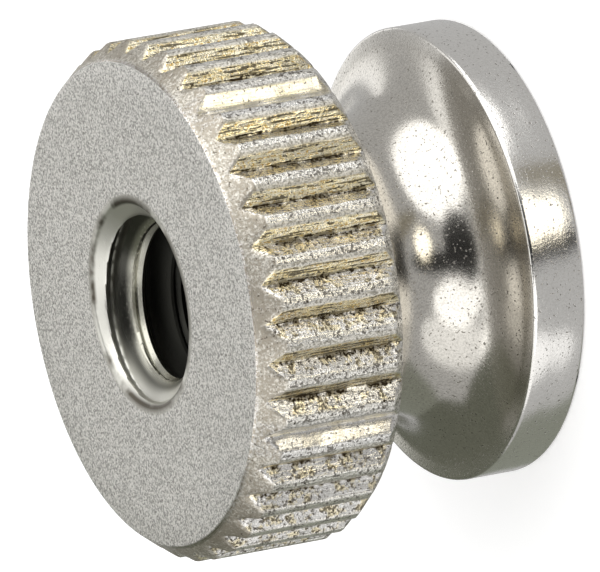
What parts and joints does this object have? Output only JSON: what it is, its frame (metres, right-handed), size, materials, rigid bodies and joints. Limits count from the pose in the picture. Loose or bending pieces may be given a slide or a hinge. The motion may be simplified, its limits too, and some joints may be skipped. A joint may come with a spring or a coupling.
{
  "type": "knurled thumb nut",
  "caption": "Knurled thumb nut with a concave waist and a plain round collar, tapped right through and countersunk at both ends.",
  "frame": {"origin": "centre of the collar's bearing face, on the thread axis", "axes": "+Z along the thread axis, out through the knurled head; a land of the knurl lies on +X"},
  "size_m": [0.0126, 0.0126, 0.0092],
  "materials": {
    "nickel_plate": "bright nickel plate over turned brass"
  },
  "bodies": {
    "root": {"thumb_nut": "nickel_plate"}
  },
  "joints": []
}
